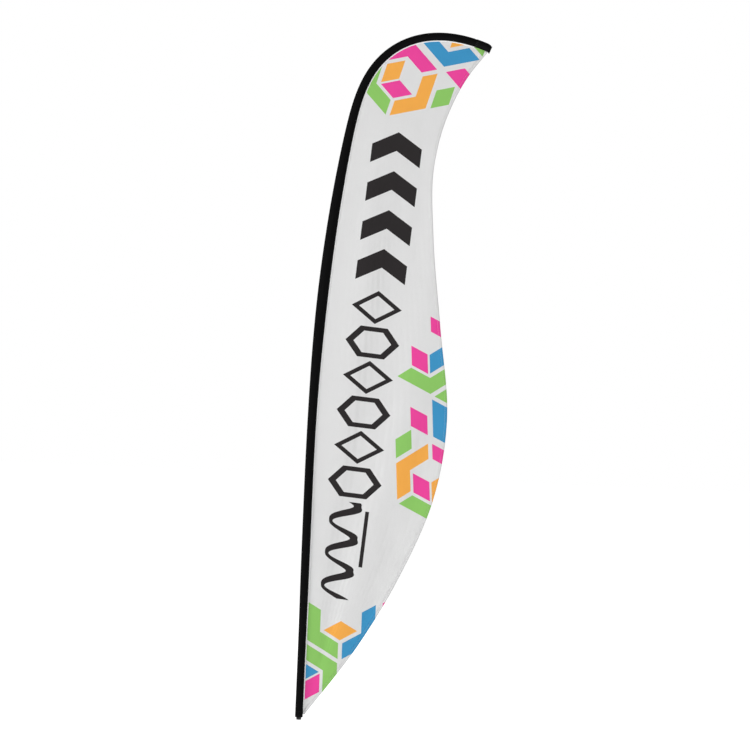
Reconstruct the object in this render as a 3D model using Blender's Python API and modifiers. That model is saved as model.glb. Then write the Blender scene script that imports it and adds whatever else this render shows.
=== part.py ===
"""Hooked feather flag on its four-section pole, in metres, +Z up.

The origin is the centre of the pole's foot. The lower pole stands along +Z, the cloth flies towards
+X and its thickness runs along Y. Every bent piece follows one centre line, given by its lean from
the vertical at each distance along the pole.
"""

import math

import bpy
import numpy as np
from mathutils import Matrix

# Centre line of the pole and its sleeve
STRAIGHT_LENGTH = 0.86      # the stretch from the foot that stays upright
LEAN_RATE = 5.45            # degrees that build up above it, per metre to the power below
LEAN_POWER = 1.44
HOOK_TURN = 111.5           # degrees that the hook adds
HOOK_AT = 2.749             # distance along the pole where the hook bends fastest
HOOK_SPREAD = 0.2266        # how gently the hook comes in
FLAG_LENGTH = 3.152         # along the centre line, from the foot to the closed tip

# Fits
GAP = 0.0003                # between pieces that touch
SLIP = 0.0003               # round a spigot in its socket

# Pole: three tubes and a tip rod, each with its foot in the one below
POLE_OUTER = 0.0200
TUBE_WALLS = (0.0015, 0.0015, 0.0015)
SOCKET_MOUTHS = (0.80, 1.62, 2.40)
SPIGOT_LENGTH = 0.10
NOSE_LENGTH = 0.0020        # rounding on the closed foot of each upper tube
NOSE_FACE = 0.75            # share of the tube's radius that its foot is nearly flat over
ROD_TIP = 0.0050
FERRULE_LENGTH = 0.024
FERRULE_WALL = 0.0008
STOP_RING_LENGTH = 0.008
STOP_RING_WALL = 0.0012

# Bearing bush in the pole's foot
SPINDLE_BORE = 0.0125
BUSH_FOOT_HEIGHT = 0.010
BUSH_SPIGOT_LENGTH = 0.036
BUSH_ROUNDING = 0.0020

# Cap on the rod's tip
CAP_WALL = 0.0020
CAP_GRIP = 0.016
CAP_NOSE = 0.003

# Sleeve: at distances along the pole, how much wider and deeper it is than the lowest tube
SLEEVE_START = 0.011
SLEEVE_WALL = 0.0008
SLEEVE_WIDTH_EASE = (
    (0.0, 0.009), (0.30, 0.009), (0.60, 0.012), (1.25, 0.014), (1.65, 0.021),
    (2.05, 0.019), (2.45, 0.013), (2.75, 0.010), (3.15, 0.010),
)
SLEEVE_DEPTH_EASE = ((0.0, 0.007), (0.90, 0.006), (1.80, 0.001), (2.40, -0.001), (3.15, -0.002))
FOOT_BAND_LENGTH = 0.025
FOOT_BAND_WALL = 0.0008

# Pocket that closes the sleeve's tip
POCKET_LENGTH = 0.065
POCKET_WALL = 0.0010
POCKET_TOE = 0.022          # the stretch over which it narrows
POCKET_END_FLARE = 1.5      # how much wider than deep its closed end is

# Cloth: two printed panels with a liner between them
CLOTH_THICKNESS = 0.0004
TAPE_WIDTH = 0.0050
TAPE_WALL = 0.0004
HEM_WIDTH = 0.0120
HEM_WALL = 0.0004
FOOT_CORNER = 0.012         # up the centre line from the foot
TIP_CORNER = 0.006          # back along it from the closed tip
TIP_CORNER_DROP = 0.0030
# The trailing edge, as a share of the chord from corner to corner and a stand-off from it
TRAILING_EDGE = (
    (0.0, 0.0), (0.12, 0.136), (0.24, 0.227), (0.36, 0.271), (0.47, 0.239), (0.60, 0.111),
    (0.72, -0.009), (0.82, -0.083), (0.90, -0.084), (0.96, -0.047), (1.0, 0.0),
)

# Fineness
LINE_STEP = 0.001
LINE_BEYOND = 0.2           # the curve is summed this far past the flag's tip
LOWER_STEP = 0.09
HOOK_STEP = 0.032
HOOK_STARTS = 2.20
TUBE_BEVEL = 7
SLEEVE_SIDES = 16
TURN_STEPS = 28
NOSE_STEPS = 6
ROUNDING_STEPS = 5
EDGE_STEPS = 56
END_WELD = 0.00001          # a closed end's points are joined within this
TURN_WELD = 0.00002         # and a turned piece's points on its axis
AXIS_DRAWN = 0.05

PARTS = "feather_flag"
COLOURS = {
    "foot_plastic": ((0.016, 0.016, 0.017), 0.45, 0.0),
    "aluminium": ((0.62, 0.63, 0.65), 0.32, 1.0),
    "collar_plastic": ((0.020, 0.020, 0.022), 0.40, 0.0),
    "rod": ((0.030, 0.030, 0.034), 0.30, 0.0),
    "sleeve_fabric": ((0.006, 0.006, 0.007), 0.80, 0.0),
    "tape_fabric": ((0.93, 0.93, 0.93), 0.85, 0.0),
    "printed_fabric": ((0.73, 0.73, 0.73), 0.85, 0.0),
    "liner_fabric": ((0.10, 0.10, 0.11), 0.85, 0.0),
}


def clear_scene():
    for obj in list(bpy.data.objects):
        bpy.data.objects.remove(obj, do_unlink=True)


def make_collection(name):
    collection = bpy.data.collections.new(name)
    bpy.context.scene.collection.children.link(collection)
    return collection


def make_material(name):
    colour, roughness, metallic = COLOURS[name]
    material = bpy.data.materials.get(name) or bpy.data.materials.new(name)
    material.use_nodes = True
    shader = material.node_tree.nodes["Principled BSDF"]
    shader.inputs["Base Color"].default_value = (*colour, 1.0)
    shader.inputs["Roughness"].default_value = roughness
    shader.inputs["Metallic"].default_value = metallic
    material.diffuse_color = (*colour, 1.0)
    return material


# ---- the centre line ----

def through(knots, at):
    """A smooth curve through (place, value) knots, read at the places given."""
    places, values = np.array(knots).T
    slopes = np.gradient(values, places)
    left = np.clip(np.searchsorted(places, at) - 1, 0, len(places) - 2)
    span = places[left + 1] - places[left]
    w = (at - places[left]) / span
    return (
        (2 * w**3 - 3 * w**2 + 1) * values[left]
        + (w**3 - 2 * w**2 + w) * span * slopes[left]
        + (3 * w**2 - 2 * w**3) * values[left + 1]
        + (w**3 - w**2) * span * slopes[left + 1]
    )


def lean_at(distance):
    """Lean from the vertical, in radians: a slow build-up above the straight foot, then the hook."""
    build_up = LEAN_RATE * np.clip(distance - STRAIGHT_LENGTH, 0, None) ** LEAN_POWER
    hook = HOOK_TURN * np.exp(-np.exp((HOOK_AT - distance) / HOOK_SPREAD))
    return np.radians(build_up + np.where(distance > STRAIGHT_LENGTH, hook, 0))


class CentreLine:
    """The curve itself, summed along the leans."""

    def __init__(self):
        self.distance = np.arange(0, FLAG_LENGTH + LINE_BEYOND, LINE_STEP)
        middle = lean_at(self.distance[:-1] + LINE_STEP / 2)
        self.x = np.concatenate([[0], np.cumsum(np.sin(middle)) * LINE_STEP])
        self.z = np.concatenate([[0], np.cumsum(np.cos(middle)) * LINE_STEP])

    def points(self, at):
        at = np.asarray(at, float)
        x = np.interp(at, self.distance, self.x)
        z = np.interp(at, self.distance, self.z)
        return np.stack([x, np.zeros_like(x), z], axis=-1)

    def across(self, at):
        """The direction from the pole into the cloth."""
        lean = lean_at(np.asarray(at, float))
        return np.stack([np.cos(lean), np.zeros_like(lean), -np.sin(lean)], axis=-1)


def stations(start, end):
    """Distances from start to end, at places that all pieces share, so that nested ones bend alike."""
    low = np.concatenate([[0.0], np.arange(STRAIGHT_LENGTH, HOOK_STARTS, LOWER_STEP)])
    shared = np.concatenate([low, np.arange(HOOK_STARTS, FLAG_LENGTH + HOOK_STEP, HOOK_STEP)])
    margin = HOOK_STEP / 5
    inside = shared[(shared > start + margin) & (shared < end - margin)]
    return np.concatenate([[start], inside, [end]])


# ---- ways of making a piece ----

def finish(obj, collection, colour, parent):
    collection.objects.link(obj)
    obj.data.materials.append(make_material(colour))
    obj.parent = parent
    return obj


def smooth(mesh, angle=40):
    mesh.shade_smooth()
    mesh.set_sharp_from_angle(angle=math.radians(angle))


def solidify(obj, wall, offset):
    thick = obj.modifiers.new("Wall", "SOLIDIFY")
    thick.thickness = wall
    thick.offset = offset
    thick.use_even_offset = True


def swept_curve(name, at, depths, collection, colour, parent, wall=None):
    """A round bar along the centre line, or a tube when it has a wall."""
    curve = bpy.data.curves.new(name, "CURVE")
    curve.dimensions = "3D"
    curve.twist_mode = "MINIMUM"
    curve.bevel_depth = 1.0
    curve.bevel_resolution = TUBE_BEVEL
    curve.use_fill_caps = wall is None
    spline = curve.splines.new("POLY")
    spline.points.add(len(at) - 1)
    for point, place, depth in zip(spline.points, line.points(at), depths):
        point.co = (*place, 1.0)
        point.radius = depth
    obj = finish(bpy.data.objects.new(name, curve), collection, colour, parent)
    if wall is not None:
        weld = obj.modifiers.new("Closed end", "WELD")
        weld.merge_threshold = END_WELD
        solidify(obj, wall, -1)
    return obj


def turned(name, profile, collection, colour, parent, at=0.0):
    """A ring or cap turned from an (r, z) profile, set on the centre line at the distance given."""
    radii, heights = np.array(profile).T
    closed = radii.min() > 0
    count = len(profile)
    mesh = bpy.data.meshes.new(name)
    edges = [(i, (i + 1) % count) for i in range(count if closed else count - 1)]
    mesh.from_pydata(np.stack([radii, np.zeros(count), heights], axis=-1).tolist(), edges, [])
    obj = finish(bpy.data.objects.new(name, mesh), collection, colour, parent)
    screw = obj.modifiers.new("Turn", "SCREW")
    screw.steps = screw.render_steps = TURN_STEPS
    screw.use_merge_vertices = True
    screw.merge_threshold = TURN_WELD
    lean = float(lean_at(np.array(at)))
    place = line.points(at)
    obj.matrix_world = Matrix.Translation(place.tolist()) @ Matrix.Rotation(lean, 4, "Y")
    return obj


def ring_profile(inner, outer, low, high, chamfer):
    """A band between two radii with its outer corners taken off, outer side first, top to bottom."""
    return [
        (inner, high), (outer - chamfer, high), (outer, high - chamfer),
        (outer, low + chamfer), (outer - chamfer, low), (inner, low),
    ]


def grid_mesh(name, rows, closed_round, collection, colour, parent, end_cap=False):
    """Quads between successive rows of points."""
    count, around = rows.shape[:2]
    index = np.arange(count * around).reshape(count, around)
    nxt = np.roll(index, -1, axis=1)
    if not closed_round:
        index, nxt = index[:, :-1], nxt[:, :-1]
    faces = np.stack([index[:-1], nxt[:-1], nxt[1:], index[1:]], axis=-1).reshape(-1, 4).tolist()
    if end_cap:
        faces.append((np.arange(around) + (count - 1) * around).tolist())
    mesh = bpy.data.meshes.new(name)
    mesh.from_pydata(rows.reshape(-1, 3).tolist(), [], faces)
    smooth(mesh)
    return finish(bpy.data.objects.new(name, mesh), collection, colour, parent)


def ovals(at, half_widths, half_depths):
    """One oval ring of points at each distance."""
    turn = np.linspace(0, 2 * math.pi, SLEEVE_SIDES, endpoint=False)
    across = line.across(at)[:, None, :]
    reach = (half_widths[:, None] * np.cos(turn))[..., None]
    deep = half_depths[:, None] * np.sin(turn)
    rows = line.points(at)[:, None, :] + across * reach
    rows[..., 1] += deep
    return rows


def folded_strip(name, inner, outer, half_depth, mouth_at_outer, collection, colour, parent, wall):
    """A strip folded into a U: its fold runs along one edge line and its two legs reach the other."""
    fold, mouth = (inner, outer) if mouth_at_outer else (outer, inner)
    rows = np.stack([mouth, fold, fold, mouth], axis=1)
    rows[:, :2, 1] = -half_depth
    rows[:, 2:, 1] = half_depth
    obj = grid_mesh(name, rows, False, collection, colour, parent)
    solidify(obj, wall, 0)
    return obj


def flat_panel(name, outline, thickness, depth, collection, colour, parent):
    """A flat plate of cloth in the XZ plane."""
    curve = bpy.data.curves.new(name, "CURVE")
    curve.dimensions = "2D"
    curve.fill_mode = "BOTH"
    curve.extrude = thickness / 2
    spline = curve.splines.new("POLY")
    spline.points.add(len(outline) - 1)
    for point, (x, z) in zip(spline.points, outline):
        point.co = (x, z, 0.0, 1.0)
    spline.use_cyclic_u = True
    obj = finish(bpy.data.objects.new(name, curve), collection, colour, parent)
    obj.matrix_world = Matrix.Translation((0, depth, 0)) @ Matrix.Rotation(math.pi / 2, 4, "X")
    return obj


# ---- sizes that follow from the driving ones ----

def pole_bores():
    """Outer diameters of the four sections and bores of the three tubes."""
    outers, bores = [POLE_OUTER], []
    for wall in TUBE_WALLS:
        bores.append(outers[-1] - 2 * wall)
        outers.append(bores[-1] - 2 * SLIP)
    return outers, bores


def sleeve_half_width(at):
    return (POLE_OUTER + through(SLEEVE_WIDTH_EASE, np.asarray(at, float))) / 2


def sleeve_half_depth(at):
    return (POLE_OUTER + through(SLEEVE_DEPTH_EASE, np.asarray(at, float))) / 2


def stack_half():
    """Half the thickness of both panels and the liner."""
    return (3 * CLOTH_THICKNESS + 2 * GAP) / 2


def seam_line(at, beyond):
    """The line that runs beside the sleeve, this far beyond its side."""
    reach = sleeve_half_width(at) + GAP + beyond
    return line.points(at) + line.across(at) * reach[:, None]


def trailing_edge(inset):
    """(x, 0, z) points of the free edge from foot corner to tip corner, moved this far into the cloth."""
    ends = np.array([FOOT_CORNER, FLAG_LENGTH - TIP_CORNER])
    foot, tip = seam_line(ends, np.array([0.0, TIP_CORNER_DROP]))[:, [0, 2]]
    chord = tip - foot
    side = np.array([chord[1], -chord[0]]) / np.hypot(*chord)
    share = np.linspace(0, 1, EDGE_STEPS)
    edge = foot + share[:, None] * chord + through(TRAILING_EDGE, share)[:, None] * side
    run = np.gradient(edge, axis=0)
    run /= np.hypot(*run.T)[:, None]
    edge = edge + inset * np.stack([-run[:, 1], run[:, 0]], axis=-1)
    return np.stack([edge[:, 0], np.zeros(EDGE_STEPS), edge[:, 1]], axis=-1)


def clear_of_seam(points, beyond):
    """Which points lie more than this far beyond the seam, at the nearest place on the line."""
    line_points = np.stack([line.x, line.z], axis=-1)
    apart = np.hypot(*np.moveaxis(points[:, None, [0, 2]] - line_points, -1, 0))
    nearest = np.minimum(line.distance[apart.argmin(axis=1)], FLAG_LENGTH)
    return apart.min(axis=1) > sleeve_half_width(nearest) + GAP + beyond


# ---- the pieces ----

def make_pole(collection, lower, flag):
    outers = pole_bores()[0]
    starts = [BUSH_FOOT_HEIGHT + GAP] + [mouth - SPIGOT_LENGTH for mouth in SOCKET_MOUTHS]
    for i, mouth in enumerate(SOCKET_MOUTHS):
        at = stations(starts[i], mouth)
        body = lower if i == 0 else flag
        radius = np.full(len(at), outers[i] / 2)
        if i > 0:
            nose = starts[i] + np.array([0, NOSE_LENGTH / 4, NOSE_LENGTH])
            at = np.concatenate([nose, at[1:]])
            radius = np.concatenate([[0, NOSE_FACE * outers[i] / 2], radius])
        swept_curve(f"pole_section_{i + 1}", at, radius, collection, "aluminium", body, TUBE_WALLS[i])

        # The collar laps over the socket's mouth, and the next section's ring rests on it.
        inside = outers[i] / 2 + GAP
        outside = inside + FERRULE_WALL
        lip = outers[i + 1] / 2 + SLIP
        half = FERRULE_LENGTH / 2
        seat = half + GAP
        top = seat + FERRULE_WALL
        chamfer = FERRULE_WALL / 3
        collar = [
            (lip, top), (outside - chamfer, top), (outside, top - chamfer), (outside, -half),
            (inside, -half), (inside, seat), (lip, seat),
        ]
        turned(f"ferrule_{i + 1}", collar, collection, "collar_plastic", body, mouth - half)

        half_ring = STOP_RING_LENGTH / 2
        stop_at = mouth + FERRULE_WALL + 2 * GAP + half_ring
        grip = outers[i + 1] / 2 + GAP
        ring = ring_profile(grip, grip + STOP_RING_WALL, -half_ring, half_ring, STOP_RING_WALL / 3)
        turned(f"stop_ring_{i + 1}", ring, collection, "collar_plastic", flag, stop_at)

    # The rod tapers between its socket and the parallel end that the cap grips.
    taper_ends = [SOCKET_MOUTHS[-1] + SPIGOT_LENGTH / 2, rod_end() - CAP_GRIP]
    at = np.append(stations(starts[-1], taper_ends[1]), rod_end())
    radius = np.interp(at, taper_ends, [outers[-1] / 2, ROD_TIP / 2])
    swept_curve("pole_section_4", at, radius, collection, "rod", flag)


def rod_end():
    """Where the rod stops, so that its cap seats in the pocket's closed end."""
    return FLAG_LENGTH - POCKET_WALL - GAP - CAP_NOSE - GAP


def cap_radius():
    return ROD_TIP / 2 + 2 * GAP + CAP_WALL


def make_foot_bush(collection, foot):
    outers, bores = pole_bores()
    bore = SPINDLE_BORE / 2
    flange = outers[0] / 2
    spigot = bores[0] / 2 - SLIP
    top = BUSH_FOOT_HEIGHT + BUSH_SPIGOT_LENGTH
    rounding = [
        (flange - BUSH_ROUNDING * (1 - math.cos(turn)), BUSH_ROUNDING * (1 - math.sin(turn)))
        for turn in np.linspace(0, math.pi / 2, ROUNDING_STEPS)
    ]
    profile = [(bore, top), (spigot, top), (spigot, BUSH_FOOT_HEIGHT), (flange, BUSH_FOOT_HEIGHT)]
    profile += rounding + [(bore, 0.0)]
    turned("foot_bush", profile, collection, "foot_plastic", foot)


def make_tip_cap(collection, flag):
    outside = cap_radius()
    grip = outside - CAP_WALL
    half = CAP_GRIP / 2
    seat = half + GAP
    nose = [
        (outside * math.sin(turn), seat + CAP_NOSE * math.cos(turn))
        for turn in np.linspace(0, math.pi / 2, NOSE_STEPS)
    ]
    profile = nose + [(outside, -half), (grip, -half), (grip, seat), (0.0, seat)]
    turned("tip_cap", profile, collection, "collar_plastic", flag, rod_end() - half)


def make_sleeve(collection, flag):
    end = FLAG_LENGTH - POCKET_TOE - GAP
    at = stations(SLEEVE_START, end)
    rows = ovals(at, sleeve_half_width(at), sleeve_half_depth(at))
    sleeve = grid_mesh("pole_sleeve", rows, True, collection, "sleeve_fabric", flag)
    solidify(sleeve, SLEEVE_WALL, -1)

    at = np.array([SLEEVE_START, SLEEVE_START + FOOT_BAND_LENGTH])
    inset = SLEEVE_WALL + GAP
    rows = ovals(at, sleeve_half_width(at) - inset, sleeve_half_depth(at) - inset)
    band = grid_mesh("sleeve_foot_band", rows, True, collection, "sleeve_fabric", flag)
    solidify(band, FOOT_BAND_WALL, -1)


def make_tip_pocket(collection, flag):
    start = FLAG_LENGTH - POCKET_LENGTH
    toe = FLAG_LENGTH - POCKET_TOE
    at = np.array([start, (start + toe) / 2, toe, FLAG_LENGTH])
    outset = GAP + POCKET_WALL
    wide = sleeve_half_width(at) + outset
    deep = sleeve_half_depth(at) + outset
    deep[-1] = cap_radius() + 2 * GAP + POCKET_WALL
    wide[-1] = deep[-1] * POCKET_END_FLARE
    rows = ovals(at, wide, deep)
    pocket = grid_mesh("tip_pocket", rows, True, collection, "sleeve_fabric", flag, end_cap=True)
    solidify(pocket, POCKET_WALL, -1)


def make_cloth(collection, flag):
    seam_end = FLAG_LENGTH - POCKET_LENGTH - GAP
    at = stations(FOOT_CORNER + TAPE_WIDTH * 1.5, seam_end)
    beside_sleeve = seam_line(at, TAPE_WALL + GAP)
    past_pocket = POCKET_WALL + GAP
    beside_pocket = seam_line(stations(seam_end, FLAG_LENGTH - TIP_CORNER), past_pocket)
    edge = trailing_edge(HEM_WALL + GAP)
    edge = edge[clear_of_seam(edge, past_pocket + GAP)]
    outline = np.concatenate([beside_sleeve, beside_pocket, edge[::-1]])[:, [0, 2]]
    step = CLOTH_THICKNESS + GAP
    flat_panel("front_panel", outline, CLOTH_THICKNESS, -step, collection, "printed_fabric", flag)
    flat_panel("blockout_liner", outline, CLOTH_THICKNESS, 0.0, collection, "liner_fabric", flag)
    flat_panel("back_panel", outline, CLOTH_THICKNESS, step, collection, "printed_fabric", flag)

    # The tape holds the three layers along the sleeve.
    leg = stack_half() + GAP + TAPE_WALL / 2
    fold = seam_line(at, TAPE_WALL / 2)
    mouth = seam_line(at, TAPE_WIDTH)
    folded_strip("seam_tape", fold, mouth, leg, True, collection, "tape_fabric", flag, TAPE_WALL)

    # The hem binds them along the free edge.
    leg = stack_half() + GAP + HEM_WALL / 2
    fold = trailing_edge(HEM_WALL / 2)
    mouth = trailing_edge(HEM_WIDTH)
    keep = clear_of_seam(mouth, TAPE_WIDTH + GAP) & clear_of_seam(fold, TAPE_WIDTH + GAP)
    folded_strip("trailing_hem", mouth[keep], fold[keep], leg, False, collection, "printed_fabric", flag, HEM_WALL)


def make_joint_axis(name, collection, parent=None):
    empty = bpy.data.objects.new(name, None)
    empty.empty_display_size = AXIS_DRAWN
    collection.objects.link(empty)
    empty.parent = parent
    return empty


clear_scene()
line = CentreLine()
parts = make_collection(PARTS)
foot_axis = make_joint_axis("foot_axis", parts)
swivel_axis = make_joint_axis("swivel_axis", parts, foot_axis)
lift_axis = make_joint_axis("lift_axis", parts, swivel_axis)
make_foot_bush(parts, foot_axis)
make_pole(parts, swivel_axis, lift_axis)
make_tip_cap(parts, lift_axis)
make_sleeve(parts, lift_axis)
make_tip_pocket(parts, lift_axis)
make_cloth(parts, lift_axis)
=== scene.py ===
# Feather flag on its sectional pole: cloth, sleeve, stitching, finishes, light and camera.
import math

import bmesh
import bpy
import numpy as np
from mathutils import Matrix, Vector


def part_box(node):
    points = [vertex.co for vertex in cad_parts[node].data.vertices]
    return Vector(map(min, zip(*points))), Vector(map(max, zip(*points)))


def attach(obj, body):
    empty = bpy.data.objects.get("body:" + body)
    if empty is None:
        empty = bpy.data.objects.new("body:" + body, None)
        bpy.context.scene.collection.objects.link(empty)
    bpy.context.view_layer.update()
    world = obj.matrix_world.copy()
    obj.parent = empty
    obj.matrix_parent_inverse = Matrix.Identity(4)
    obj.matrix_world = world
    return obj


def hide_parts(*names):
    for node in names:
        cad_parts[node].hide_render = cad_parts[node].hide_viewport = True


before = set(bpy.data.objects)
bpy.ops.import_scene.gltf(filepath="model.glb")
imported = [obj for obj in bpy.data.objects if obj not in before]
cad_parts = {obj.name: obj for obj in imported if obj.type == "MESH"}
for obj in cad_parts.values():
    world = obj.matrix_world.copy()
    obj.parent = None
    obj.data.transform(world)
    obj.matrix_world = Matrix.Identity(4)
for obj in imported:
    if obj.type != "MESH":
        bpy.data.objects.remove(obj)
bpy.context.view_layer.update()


def inScene(name, data):
    # a new object with this data, linked to the scene
    made = bpy.data.objects.new(name, data)
    bpy.context.scene.collection.objects.link(made)
    return made


# camera first: level, turned a little about its own axis so that the straight lower pole leans
camera = {
    "lens": 150.0,
    "sensor": 36.0,
    "covers": 3.0,            # metres across the picture at the cloth
    "lean": math.radians(2.397),
    "centre": (0.3052, 1.378),  # from the foot, along the picture's own right and up
}


def makeCamera():
    # right and up are x and z turned by the lean, and the eye stands back square to them
    c, s = math.cos(camera["lean"]), math.sin(camera["lean"])
    right, up = np.array([c, 0, s]), np.array([-s, 0, c])
    away = camera["covers"] * camera["lens"] / camera["sensor"]  # the distance at which it covers that
    aim = camera["centre"][0] * right + camera["centre"][1] * up
    data = bpy.data.cameras.new("camera")
    data.lens = camera["lens"]
    data.sensor_width = camera["sensor"]
    data.clip_end = 200
    eye = inScene("camera", data)
    place = np.eye(4)
    place[:3, 0], place[:3, 1], place[:3, 2] = right, up, (0, -1, 0)
    place[:3, 3] = aim - np.array([0, away, 0])
    eye.matrix_world = Matrix(place.tolist())
    bpy.context.scene.camera = eye


makeCamera()
bpy.context.scene.view_settings.view_transform = "Standard"
bpy.context.scene.view_settings.look = "None"
print("camera placed")


# the pole's line and what is laid out along it, as the frame has them
pole = {
    "straight": 0.86,
    "leanRate": 5.45,
    "leanPower": 1.44,
    "hookTurn": 111.5,
    "hookAt": 2.749,
    "hookSpread": 0.2266,
    "length": 3.152,
    "outer": 0.020,
    "step": 0.001,
}
sleeve = {
    "start": 0.011,
    "wall": 0.0008,
    "gap": 0.0003,
    "widthEase": ((0, .009), (.30, .009), (.60, .012), (1.25, .014), (1.65, .021),
                  (2.05, .019), (2.45, .013), (2.75, .010), (3.15, .010)),
    "depthEase": ((0, .007), (.90, .006), (1.80, .001), (2.40, -.001), (3.15, -.002)),
    "along": 760,
    "around": 40,
    "seamHalf": 0.0016,       # half the thickness where both layers meet the cloth
    "wrinkle": 0.0005,
    "bunching": 0.0009,       # on the inside of the hook
    "proud": 0.0010,          # how far the slack cloth stands off its taut line, up to the pocket
    "gripped": 0.006,         # the length over which the pocket draws it in
    "corner": 12,             # how sharply it turns at the seam and the outer fold
    "girth": 0.012,           # metres of cloth for each radian round it
    "folds": ((5.3, 2, 0, 1.0), (11.9, -3, 1, 0.7), (23.0, 1, 2, 0.5)),
    "creases": 165.0,
    "creaseDrift": (1.5, 31.0, 1.2),  # sway, how often it sways, and slant
    "tightBend": 4.0,         # radians to the metre at which the creases are full
}
pocket = {
    "length": 0.065,
    "wall": 0.0010,
    "toe": 0.022,             # the stretch over which it goes flat
    "coreHalf": 0.0068,       # half its depth over the cap
    "noseFrom": 0.0043,       # where it begins to close, back from the pole's end
    "past": 0.0025,           # how far its sewn end lies past the pole's
    "edgeHalf": 0.0011,
    "chamfer": 0.019,         # the outer corner is folded in over this length
    "pointHalf": 0.0090,
    "flare": 0.012,
    "lip": 0.0030,
    "clear": 0.0004,          # from the sleeve inside it
    "coreRoom": 0.0002,
    "innerShort": 0.0009,     # how much sooner the inner wall closes
    "innerFrom": 0.02,
    "around": 56,
    "rows": (12, 30),         # up to the toe, and along it
    "weld": 0.00002,
}


def through(knots, at):
    # cubic curve through (place, value) knots, each slope taken from its neighbours
    places, values = np.array(knots, float).T
    slopes = np.gradient(values, places)
    left = np.clip(np.searchsorted(places, at) - 1, 0, len(places) - 2)
    span = places[left + 1] - places[left]
    w = (at - places[left]) / span
    return ((2 * w**3 - 3 * w**2 + 1) * values[left] + (w**3 - 2 * w**2 + w) * span * slopes[left]
            + (3 * w**2 - 2 * w**3) * values[left + 1] + (w**3 - w**2) * span * slopes[left + 1])


def leanAt(s):
    # a power of the distance above the straight foot, plus the hook's turn times exp(-exp(-distance))
    build = pole["leanRate"] * np.clip(s - pole["straight"], 0, None) ** pole["leanPower"]
    hook = pole["hookTurn"] * np.exp(-np.exp((pole["hookAt"] - s) / pole["hookSpread"]))
    return np.radians(build + np.where(s > pole["straight"], hook, 0))


lineS = np.arange(0, pole["length"] + 0.2, pole["step"])
lineLean = leanAt(lineS[:-1] + pole["step"] / 2)
lineX = np.concatenate([[0], np.cumsum(np.sin(lineLean)) * pole["step"]])
lineZ = np.concatenate([[0], np.cumsum(np.cos(lineLean)) * pole["step"]])


def poleLine(s):
    # centre of the pole at each distance, as (x, z)
    return np.stack([np.interp(s, lineS, lineX), np.interp(s, lineS, lineZ)], -1)


def intoCloth(s):
    # direction from the pole into the cloth: the lean's cosine along x, minus its sine along z
    lean = leanAt(s)
    return np.stack([np.cos(lean), -np.sin(lean)], -1)


def sleeveHalfWidth(s):
    # half of the pole's width and the ease there
    return (pole["outer"] + through(sleeve["widthEase"], s)) / 2


def sleeveHalfDepth(s):
    # the same, square to the cloth
    return (pole["outer"] + through(sleeve["depthEase"], s)) / 2


# ways of making a mesh

def addPiece(name, points, faces, body="flag", stand=(), uv=None):
    # one object at the origin, with its place in its mesh
    mesh = bpy.data.meshes.new(name)
    points, faces = np.asarray(points, np.float32).reshape(-1, 3), np.asarray(faces, np.int32)
    mesh.vertices.add(len(points))
    mesh.vertices.foreach_set("co", points.ravel())
    mesh.loops.add(faces.size)
    mesh.loops.foreach_set("vertex_index", faces.ravel())
    mesh.polygons.add(len(faces))
    mesh.polygons.foreach_set("loop_start", np.arange(0, faces.size, faces.shape[1], dtype=np.int32))
    mesh.update(calc_edges=True)
    mesh.validate()
    if uv is not None:
        layer = mesh.uv_layers.new(name="metres")
        layer.data.foreach_set("uv", np.asarray(uv, np.float32).reshape(-1, 2)[faces.ravel()].ravel())
    mesh.shade_smooth()
    piece = inScene(name, mesh)
    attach(piece, body)
    if stand:
        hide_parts(*stand)
    return piece


def gridFaces(rows, columns, ring=False):
    # quads between neighbouring rows and columns, the last column joined to the first on a ring
    index = np.arange(rows * columns).reshape(rows, columns)
    nxt = np.roll(index, -1, axis=1)
    if not ring:
        index, nxt = index[:, :-1], nxt[:, :-1]
    return np.stack([index[:-1], nxt[:-1], nxt[1:], index[1:]], -1).reshape(-1, 4)


def unit(rows):
    # each row scaled to length 1
    return rows / np.maximum(np.linalg.norm(rows, axis=-1), 1e-9)[..., None]


def metres(s, aside):
    # the cloth's own metres: along the pole, and this far aside
    return np.stack([np.broadcast_to(s[:, None], aside.shape), aside], -1)


def awayFrom(points, column):
    # distance of each point from the same row's point in this column, in the cloth's plane
    away = points - points[:, column:column + 1]
    return np.hypot(away[..., 0], away[..., 2])


def thicken(piece, wall, offset):
    # a wall this thick: -1 inwards from the surface, 0 to both sides of it
    thick = piece.modifiers.new("thickness", "SOLIDIFY")
    thick.thickness = wall
    thick.offset = offset
    thick.use_even_offset = True
    thick.use_quality_normals = True
    return piece


def stitchRow(places, along, out, length, thread):
    # one short thread per place: rings of six points on a bar that dips at both ends, which are closed
    side = np.cross(out, along)
    turn = np.linspace(0, 2 * math.pi, 6, endpoint=False)
    reach = np.array([-.5, -.32, .32, .5]) * length
    lift = np.array([-.9, .45, .45, -.9]) * thread
    thick = np.array([.5, 1.0, 1.0, .5]) * thread / 2
    ring = (np.cos(turn)[:, None] * side[:, None, :] + np.sin(turn)[:, None] * out[:, None, :])
    points = (places[:, None, None, :] + reach[:, None, None] * along[:, None, None, :]
              + lift[:, None, None] * out[:, None, None, :] + thick[:, None, None] * ring[:, None, :, :])
    near, far = np.array([[0, 3, 2, 1], [0, 5, 4, 3]]), np.array([[18, 19, 20, 21], [18, 21, 22, 23]])
    one = np.concatenate([gridFaces(4, 6, ring=True), near, far])
    faces = (one[None] + np.arange(len(places))[:, None, None] * 24).reshape(-1, 4)
    return points.reshape(-1, 3), faces


def joined(parts):
    # several (points, faces) as one
    points, faces, used = [], [], 0
    for p, f in parts:
        points.append(p)
        faces.append(f + used)
        used += len(p)
    return np.concatenate(points), np.concatenate(faces)


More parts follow.
